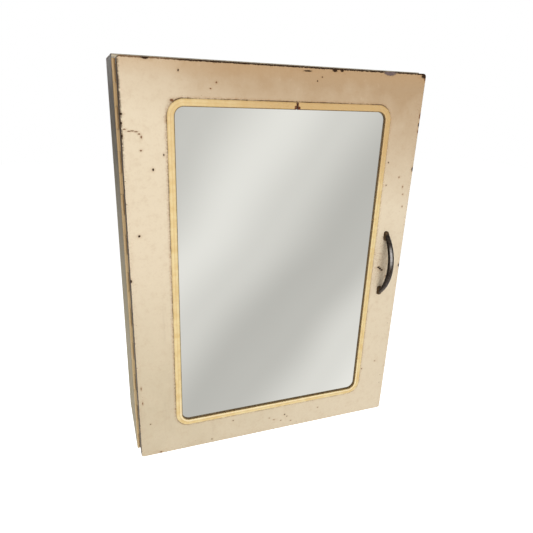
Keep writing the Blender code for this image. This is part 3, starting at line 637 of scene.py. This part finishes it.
def aged_bronze():
    """Dark cast bronze with file marks, dull and brown at its feet, polished where hands have worn it, with a
    painted highlight streak along the upper middle of the bow and painted shade on its flanks.
    """
    paint = Paint("aged_bronze")
    proud = paint.minus(DOOR_FACE, paint.y)
    along = paint.minus(paint.z, HANDLE_Z)
    grip = paint.step(proud, 8 * MM, 23 * MM)
    files = paint.noise(1.1 * MM, 4.0, 0.7, paint.stretched((0.28, 0.28, 2.2), 38.0))
    grain = paint.noise(2.4 * MM, 5.0, 0.7)
    colour = paint.mix(paint.step(grain, 0.35, 0.7), srgb(30, 24, 20), srgb(70, 58, 50))
    colour = paint.mix(paint.times(paint.step(files, 0.5, 0.62), 0.55), colour, srgb(118, 108, 98))
    colour = paint.mix(paint.step(files, 0.45, 0.33, 0.0, 0.7), colour, srgb(24, 18, 14))
    # Polished wear on the upper middle of the bow
    polish_and_highlight = paint.times(grip, paint.step(along, -3 * MM, 16 * MM), paint.step(along, 36 * MM, 22 * MM))
    polish_and_highlight = paint.times(polish_and_highlight, paint.step(grain, 0.2, 0.6))
    # Painted shade on both flanks of the bow, and a painted highlight streak down its middle where it is
    # polished
    flank = paint.math("ABSOLUTE", paint.minus(paint.x, HANDLE_X - 0.8 * MM))
    colour = paint.mix(paint.step(flank, 1.6 * MM, 3.8 * MM, 0.0, 0.8), colour, srgb(20, 15, 12))
    painted_highlight_streak = paint.times(polish_and_highlight, paint.step(flank, 2.6 * MM, 0.6 * MM))
    colour = paint.mix(paint.times(painted_highlight_streak, 0.9), colour, srgb(232, 228, 226))
    foot = paint.step(proud, 6.5 * MM, 3.0 * MM)
    colour = paint.mix(paint.times(foot, paint.step(grain, 0.3, 0.6, 0.5, 1.0)), colour, srgb(104, 82, 58))
    colour = paint.mix(paint.step(proud, 1.3 * MM, 0.4 * MM), colour, UMBER)
    paint.bump(paint.add(paint.times(files, 0.7), paint.times(grain, 0.5)), 0.28 * MM)
    rough = paint.add(0.34, paint.times(foot, 0.3), paint.times(polish_and_highlight, -0.12), paint.times(files, 0.12))
    paint.set(Base_Color=colour, Metallic=0.9, Roughness=rough)
    return paint.material


def old_steel(name, light, dark, rust=0.4):
    """Bare or plated steel gone dull, with rust creeping over it."""
    paint = Paint(name)
    grain = paint.noise(1.2 * MM, 5.0, 0.7)
    broad = paint.noise(8 * MM, 4.0, 0.65)
    brushed = paint.noise(0.6 * MM, 3.0, 0.6, paint.stretched((1.0, 1.0, 0.1)))
    colour = paint.mix(paint.step(grain, 0.3, 0.7), dark, light)
    colour = paint.mix(paint.times(paint.step(brushed, 0.5, 0.7), 0.3), colour, light)
    rusted = paint.times(paint.step(paint.add(broad, paint.times(grain, 0.5)), 0.72, 0.95), rust)
    colour = paint.mix(rusted, colour, RUST)
    relief = paint.add(paint.times(grain, 0.5), paint.times(rusted, 0.8), paint.times(brushed, 0.2))
    paint.bump(relief, 0.12 * MM)
    paint.set(Base_Color=colour, Metallic=paint.minus(0.9, paint.times(rusted, 0.8)),
              Roughness=paint.add(0.34, paint.times(grain, 0.2), paint.times(rusted, 0.4)))
    return paint.material


def moulded(name, light, dark, rough, relief):
    """A moulded or sintered material with a fine grain: rubber, ferrite or catch plastic."""
    paint = Paint(name)
    grain = paint.noise(0.7 * MM, 4.0, 0.7)
    broad = paint.noise(5 * MM, 3.0)
    colour = paint.mix(paint.step(paint.add(grain, broad), 0.75, 1.25), dark, light)
    scuffs = paint.specks(1.8 * MM, 0.12, 0.18)
    colour = paint.mix(paint.times(scuffs, 0.35), colour, DULL)
    paint.bump(paint.add(grain, paint.times(scuffs, -0.6)), relief)
    paint.set(Base_Color=colour, Roughness=paint.add(rough, paint.times(broad, 0.2)))
    return paint.material


# ---------------------------------------------------------------- meshes


def as_object(name, bm):
    """An object in the scene with this bmesh, which is freed, as its mesh."""
    mesh = bpy.data.meshes.new(name)
    bm.to_mesh(mesh)
    bm.free()
    obj = bpy.data.objects.new(name, mesh)
    bpy.context.scene.collection.objects.link(obj)
    return obj


def add_piece(name, bm, material, body, slot, *nodes):
    """The bmesh as a piece that rides a body, stands for CAD nodes and takes this material. The slot is not
    used.
    """
    obj = as_object(name, bm)
    obj.data.materials.append(material)
    obj.data.shade_smooth()
    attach(obj, body)
    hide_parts(*nodes)
    return obj


def settle(bm, *modifiers):
    """The bmesh after these modifiers, as a new bmesh. Each is (type, {setting: value})."""
    obj = as_object("draft", bm)
    mesh = obj.data
    for kind, settings in modifiers:
        modifier = obj.modifiers.new(kind.title(), kind)
        for key, value in settings.items():
            setattr(modifier, key, value)
    evaluated = obj.evaluated_get(bpy.context.evaluated_depsgraph_get())
    result = bmesh.new()
    result.from_mesh(evaluated.to_mesh())
    evaluated.to_mesh_clear()
    bpy.data.objects.remove(obj, do_unlink=True)
    bpy.data.meshes.remove(mesh)
    return result


def ring(width, height, corner, middle, y, arc=8, straight=20):
    """A rounded rectangle in the door's plane, anticlockwise seen from the front."""
    points = []
    corners = ((1, -1), (1, 1), (-1, 1), (-1, -1))
    for quarter, (side, up) in enumerate(corners):
        centre = Vector((middle.x + side * (width / 2 - corner), y, middle.z + up * (height / 2 - corner)))
        for step in range(arc + 1):
            angle = math.radians(-90 + 90 * quarter + 90 * step / arc)
            points.append(centre + corner * Vector((math.cos(angle), 0.0, math.sin(angle))))
        side, up = corners[(quarter + 1) % 4]
        angle = math.radians(90 * quarter)
        following = Vector((middle.x + side * (width / 2 - corner), y, middle.z + up * (height / 2 - corner)))
        following += corner * Vector((math.cos(angle), 0.0, math.sin(angle)))
        start = points[-1]
        points += [start.lerp(following, step / straight) for step in range(1, straight)]
    return points


def loft(rings, closed=False):
    """Quads through rings of equal length."""
    bm = bmesh.new()
    rows = [[bm.verts.new(point) for point in points] for points in rings]
    pairs = list(zip(rows, rows[1:]))
    if closed:
        pairs.append((rows[-1], rows[0]))
    for row, following in pairs:
        for i in range(len(row)):
            j = (i + 1) % len(row)
            bm.faces.new((following[i], following[j], row[j], row[i]))
    return bm


def dented(point, fade):
    """Old sheet isn't flat: a point moved in or out a little, fading to nothing at edges."""
    wave = noise.noise(point / DENT_LENGTH) + 0.4 * noise.noise(point / (0.3 * DENT_LENGTH))
    return point + Vector((0.0, DENT * wave * fade, 0.0))


def door_shell(material):
    """The pressed door: a face round the mirror, rolled edges, four returns and a hem."""
    wide = BEAD_WIDTH - 2 * BEAD_LIP
    tall = BEAD_HEIGHT - 2 * BEAD_LIP
    opening = ring(wide, tall, BEAD_CORNER - BEAD_LIP, BEAD_MIDDLE, DOOR_FACE)
    inset = 2 * DOOR_BEND
    flat = ring(DOOR_WIDTH - inset, DOOR_HEIGHT - inset, DOOR_CORNER - DOOR_BEND, DOOR_MIDDLE, DOOR_FACE)
    rings = []
    for step in range(FACE_RINGS + 1):
        share = math.sin(step / FACE_RINGS * math.pi / 2)
        fade = math.sin(share * math.pi)
        rings.append([dented(first.lerp(second, share), fade) for first, second in zip(opening, flat)])
    for step in range(1, BEND_STEPS + 1):
        angle = math.radians(90 * step / BEND_STEPS)
        inward = DOOR_BEND * (1 - math.sin(angle))
        y = DOOR_FACE + DOOR_BEND * (1 - math.cos(angle))
        rings.append(door_ring(inward, y, DOOR_CORNER - inward))
    back = DOOR_HIGH.y
    rings.append(door_ring(0.0, (DOOR_FACE + back) / 2, DOOR_CORNER))
    for step in range(BEND_STEPS + 1):
        angle = math.radians(90 * step / BEND_STEPS)
        inward = DOOR_BEND * (1 - math.cos(angle))
        rings.append(door_ring(inward, back - DOOR_BEND * (1 - math.sin(angle)), DOOR_CORNER - inward))
    rings.append(door_ring(HEM, back, HEM_CORNER))
    shell = add_piece("door_shell", loft(rings), material, "door", "door_enamel", "door_skin")
    solidify = shell.modifiers.new("Sheet", "SOLIDIFY")
    solidify.thickness = SHEET
    solidify.offset = -1.0
    solidify.use_even_offset = True


def door_ring(inward, y, corner):
    return ring(DOOR_WIDTH - 2 * inward, DOOR_HEIGHT - 2 * inward, corner, DOOR_MIDDLE, y)


def bead_section():
    """(distance in from the outer edge, height above the door's face): two low ridges, a hollow between."""
    points = [(0.0, FIT)]
    for step in range(BEAD_CURVE_STEPS + 1):
        share = (1 - math.cos(math.pi * step / BEAD_CURVE_STEPS)) / 2
        rise = math.sin(math.pi * share) ** BEAD_SHOULDER if 0 < share < 1 else 0.0
        hollow = BEAD_HOLLOW * math.exp(-(((share - 0.5) / BEAD_HOLLOW_WIDTH) ** 2))
        points.append((BEAD_SIZE * share, BEAD_EDGE + (BEAD_CROWN - BEAD_EDGE) * rise - hollow))
    floor = FIT - (GLASS_LOW.y - DOOR_FACE)
    step_in = BEAD_LIP + FIT
    return [*points, (BEAD_SIZE, floor), (step_in, floor), (step_in, FIT)]


def mirror_surround(material):
    """The bead in one length, mitre-free, its two ends meeting in a ragged joint at the top."""
    rings = []
    for inward, height in bead_section():
        wide = BEAD_WIDTH - 2 * inward
        tall = BEAD_HEIGHT - 2 * inward
        rings.append(ring(wide, tall, BEAD_CORNER - inward, BEAD_MIDDLE, DOOR_FACE - height, 14, 40))
    bm = loft(rings, closed=True)
    bmesh.ops.recalc_face_normals(bm, faces=bm.faces)
    wedge = bmesh.new()
    place = Matrix.Translation((BEAD_JOINT_X, DOOR_FACE, BEAD_HIGH.z - BEAD_SIZE / 2))
    bmesh.ops.create_cone(
        wedge,
        cap_ends=True,
        segments=7,
        radius1=BEAD_JOINT_INNER,
        radius2=BEAD_JOINT_OUTER,
        depth=1.3 * BEAD_SIZE,
        matrix=place @ Matrix.Diagonal((1.0, 6.0, 1.0, 1.0)),
    )
    joint = as_object("joint", wedge)
    bm = settle(bm, ("BOOLEAN", {"operation": "DIFFERENCE", "object": joint, "solver": "EXACT"}))
    bpy.data.objects.remove(joint, do_unlink=True)
    surround = add_piece("mirror_surround", bm, material, "door", "bead_plastic", "mirror_bead")
    surround.data.set_sharp_from_angle(angle=math.radians(50))


def oval(centre, across, outward, wide, deep, power=2.4):
    """A squared oval round a centre, in the plane of two directions."""
    points = []
    for step in range(SECTION_STEPS):
        angle = 2 * math.pi * step / SECTION_STEPS
        cos, sin = math.cos(angle), math.sin(angle)
        u = math.copysign(abs(cos) ** (2 / power), cos)
        v = math.copysign(abs(sin) ** (2 / power), sin)
        points.append(centre + across * (wide * u) + outward * (deep * v))
    return points


def capped(rings):
    """A closed tube through rings, with a face at each end."""
    bm = loft(rings)
    bm.verts.ensure_lookup_table()
    count = len(rings[0])
    bm.faces.new([bm.verts[i] for i in range(count)])
    last = len(bm.verts) - count
    bm.faces.new([bm.verts[last + i] for i in reversed(range(count))])
    return bm


def pull_handle(material):
    """A bow on a circular arc that thins towards its ends, cast in one with two oval feet."""
    seat = DOOR_FACE - FIT
    across = Vector((1, 0, 0))
    wide = (HANDLE_HIGH.x - HANDLE_LOW.x) / 2
    rise = seat - HANDLE_LOW.y
    middle_y = seat - rise + HANDLE_ARC
    radius = HANDLE_ARC - HANDLE_DEPTH / 2
    sweep = math.acos((HANDLE_ARC - rise) / HANDLE_ARC)
    rings = []
    for step in range(HANDLE_STEPS + 1):
        share = 2 * step / HANDLE_STEPS - 1
        angle = share * sweep
        outward = Vector((0.0, -math.cos(angle), math.sin(angle)))
        centre = Vector((HANDLE_X, middle_y, HANDLE_Z)) + outward * radius
        size = 1.0 - HANDLE_TAPER * share**2
        rings.append(oval(centre, across, outward, wide * size, HANDLE_DEPTH / 2 * size))
    bm = capped(rings)
    for sign in (-1, 1):
        foot_z = HANDLE_Z + sign * FOOT_SPACING / 2
        levels = []
        for up, size in FOOT_LEVELS:
            centre = Vector((HANDLE_X, seat - FOOT_HEIGHT * up, foot_z))
            wide, tall = FOOT_WIDTH / 2 * size, FOOT_LENGTH / 2 * size
            levels.append(oval(centre, across, Vector((0, 0, 1)), wide, tall, 2.8))
        foot = capped(levels)
        mesh = bpy.data.meshes.new("foot")
        foot.to_mesh(mesh)
        foot.free()
        bm.from_mesh(mesh)
        bpy.data.meshes.remove(mesh)
    bmesh.ops.recalc_face_normals(bm, faces=bm.faces)
    bm = settle(
        bm,
        ("REMESH", {"mode": "VOXEL", "voxel_size": VOXEL}),
        ("SMOOTH", {"factor": 0.6, "iterations": 6}),
    )
    whole = [*bm.verts, *bm.edges, *bm.faces]
    cut = bmesh.ops.bisect_plane(
        bm, geom=whole, plane_co=(0.0, seat, 0.0), plane_no=(0.0, 1.0, 0.0), clear_outer=True
    )
    rim = [item for item in cut["geom_cut"] if isinstance(item, bmesh.types.BMEdge)]
    bmesh.ops.holes_fill(bm, edges=rim)
    add_piece("pull_handle", bm, material, "door", "aged_bronze", "handle")


def finish_nodes(materials):
    """Gives each CAD node that still shows its material and, where one is stated, a softened edge."""
    for names, (material, soften) in materials.items():
        for name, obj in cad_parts.items():
            if not name.startswith(names) or obj.hide_render:
                continue
            obj.data.materials.clear()
            obj.data.materials.append(material)
            if soften:
                bevel = obj.modifiers.new("Soft edge", "BEVEL")
                bevel.width = soften
                bevel.segments = 2
                bevel.limit_method = "ANGLE"
                bevel.angle_limit = math.radians(40)


# ---------------------------------------------------------------- the stage


def add_stage(name, bm, material):
    obj = as_object(name, bm)
    obj.data.materials.append(material)
    return obj


def pale_floor():
    """A plain pale floor well below the cabinet, which hangs on its wall mounts."""
    material = bpy.data.materials.new("pale_floor")
    material.use_nodes = True
    shader = material.node_tree.nodes["Principled BSDF"]
    shader.inputs["Base Color"].default_value = (0.9, 0.9, 0.9, 1.0)
    shader.inputs["Roughness"].default_value = 0.9
    shader.inputs["Emission Color"].default_value = (1.0, 1.0, 1.0, 1.0)
    shader.inputs["Emission Strength"].default_value = FLOOR_GLOW
    bm = bmesh.new()
    bmesh.ops.create_grid(bm, size=9.0, matrix=Matrix.Translation((0.0, 0.0, BODY_LOW.z - FLOOR_DROP)))
    floor = add_stage("floor", bm, material)
    floor.visible_diffuse = False


def reflection_card():
    """A grey card in front of the mirror with soft slanting bands, seen only in reflections."""
    eye = Vector(CAMERA_PLACE)
    seen_from = Vector((eye.x, 2 * GLASS_LOW.y - eye.y, eye.z))
    grow = 1 + CARD_DISTANCE / (seen_from.y - GLASS_LOW.y)
    reach = grow * (BEAD_WIDTH + BEAD_HEIGHT)

    paint = Paint("grey_card")
    direction = tuple(share / reach for share in BAND_SLANT)
    slant = paint.new_with("ShaderNodeVectorMath", paint.place, direction, operation="DOT_PRODUCT")
    sway = paint.times(paint.noise(BAND_SWAY_SIZE, 1.0, 0.5), BAND_SWAY)
    across = paint.add(sway, slant.outputs["Value"], (1 - BAND_SWAY) / 2)
    ramp = paint.new_with("ShaderNodeValToRGB", across)
    ramp.color_ramp.interpolation = "EASE"
    elements = ramp.color_ramp.elements
    while len(elements) < len(BANDS):
        elements.new(0.5)
    for element, (at, grey) in zip(elements, BANDS):
        element.position = at
        element.color = srgb(grey, grey - 1, grey - 5)
    glow = paint.new_with("ShaderNodeEmission", ramp.outputs["Color"], CARD_GLOW)
    paint.feed(paint.tree.nodes["Material Output"].inputs["Surface"], glow.outputs[0])
    paint.tree.nodes.remove(paint.shader)

    bm = bmesh.new()
    upright = Matrix.Rotation(math.radians(90), 4, "X")
    sized = Matrix.Diagonal((CARD_HALF_WIDTH, CARD_HALF_HEIGHT, 1.0, 1.0))
    bmesh.ops.create_grid(bm, size=1.0, matrix=upright @ sized)
    card = add_stage("grey_card", bm, paint.material)
    card.location = seen_from + (Vector((BEAD_MIDDLE.x, GLASS_LOW.y, BEAD_MIDDLE.z)) - seen_from) * grow
    card.visible_camera = False
    card.visible_diffuse = False
    card.visible_shadow = False
    card.visible_transmission = False


def studio_world():
    """White all round for the camera, and a soft grey surround as light."""
    world = bpy.data.worlds.new("studio")
    bpy.context.scene.world = world
    world.use_nodes = True
    nodes = world.node_tree.nodes
    links = world.node_tree.links
    nodes.clear()
    path = nodes.new("ShaderNodeLightPath")
    mix = nodes.new("ShaderNodeMixShader")
    output = nodes.new("ShaderNodeOutputWorld")
    links.new(path.outputs["Is Camera Ray"], mix.inputs[0])
    sides = (((1.0, 0.985, 0.96, 1.0), AMBIENT), ((1.0, 1.0, 1.0, 1.0), 1.0))
    for socket, (colour, strength) in zip(mix.inputs[1:], sides):
        side = nodes.new("ShaderNodeBackground")
        side.inputs["Color"].default_value = colour
        side.inputs["Strength"].default_value = strength
        links.new(side.outputs[0], socket)
    links.new(mix.outputs[0], output.inputs["Surface"])


def area_light(name, place, target, power, size):
    """A square soft light that faces its target."""
    data = bpy.data.lights.new(name, "AREA")
    data.size = size
    data.energy = power
    light = bpy.data.objects.new(name, data)
    bpy.context.scene.collection.objects.link(light)
    light.location = place
    light.rotation_mode = "QUATERNION"
    light.rotation_quaternion = (Vector(target) - Vector(place)).to_track_quat("-Z", "Y")


def studio_lights():
    """A soft key in front, a weak one low on the left, and two for the right side and the back."""
    area_light("key", (-0.30, -2.9, 0.15), DOOR_MIDDLE, KEY_POWER, 2.0)
    area_light("low_left", (-0.75, 0.02, -0.75), (BODY_LOW.x, -0.07, BODY_LOW.z + 0.12), LOW_LEFT_POWER, 0.35)
    area_light("right", (2.2, 0.3, 0.6), (0.1, -0.07, 0.0), RIGHT_POWER, 1.0)
    area_light("behind", (-0.6, 2.4, 1.0), (0.0, -0.05, 0.0), BEHIND_POWER, 1.2)


def camera():
    data = bpy.data.cameras.new("camera")
    data.sensor_width = 36.0
    data.lens = LENS
    data.clip_start = 0.01
    obj = bpy.data.objects.new("camera", data)
    bpy.context.scene.collection.objects.link(obj)
    forward = Vector(CAMERA_FORWARD)
    right = forward.cross(Vector(CAMERA_UP)).normalized()
    up = right.cross(forward)
    turn = Matrix((right, up, -forward)).transposed().to_4x4()
    obj.matrix_world = Matrix.Translation(CAMERA_PLACE) @ turn
    bpy.context.scene.camera = obj


def main():
    door_shell(door_enamel())
    mirror_surround(bead_plastic())
    pull_handle(aged_bronze())

    # Outside: painted shade and grime make it dark high up
    outside = body_enamel("body_enamel", srgb(156, 143, 106), srgb(42, 30, 14), 0.7, srgb(208, 196, 172))
    inside = body_enamel("inside_enamel", srgb(222, 211, 188), srgb(208, 196, 170), 0.35)
    hinge = body_enamel("hinge_paint", srgb(214, 186, 138), srgb(206, 172, 124), 0.6)
    steel = old_steel("old_steel", (0.52, 0.50, 0.47, 1.0), (0.30, 0.28, 0.26, 1.0))
    screw = old_steel("screw_steel", (0.62, 0.60, 0.56, 1.0), (0.36, 0.34, 0.30, 1.0), 0.25)
    plastic = moulded("catch_plastic", srgb(226, 214, 184), srgb(196, 180, 146), 0.4, 0.06 * MM)
    ferrite = moulded("magnet_ferrite", srgb(66, 64, 64), srgb(40, 39, 40), 0.55, 0.15 * MM)
    rubber = moulded("buffer_rubber", srgb(58, 52, 48), srgb(34, 31, 29), 0.7, 0.1 * MM)
    finish_nodes({
        ("side_panel", "top_panel", "bottom_panel", "back_panel"): (outside, 0.0),
        ("shelf_", "door_back_cover"): (inside, 0.0),
        ("hinge_leaf",): (hinge, 0.12 * MM),
        ("hinge_pin",): (screw, 0.1 * MM),
        ("mirror_glass",): (mirror_silver(), 0.4 * MM),
        ("mirror_backing_board",): (hardboard(), 0.3 * MM),
        ("mirror_clip", "hanger_plate", "catch_strike", "catch_pole"): (steel, 0.15 * MM),
        ("handle_screw", "cover_screw", "strike_screw", "catch_screw"): (screw, 0.12 * MM),
        ("catch_housing",): (plastic, 0.6 * MM),
        ("catch_magnet",): (ferrite, 0.3 * MM),
        ("door_buffer",): (rubber, 0.25 * MM),
    })

    pale_floor()
    reflection_card()
    studio_world()
    studio_lights()
    camera()
    bpy.context.scene.view_settings.view_transform = "Standard"


main()
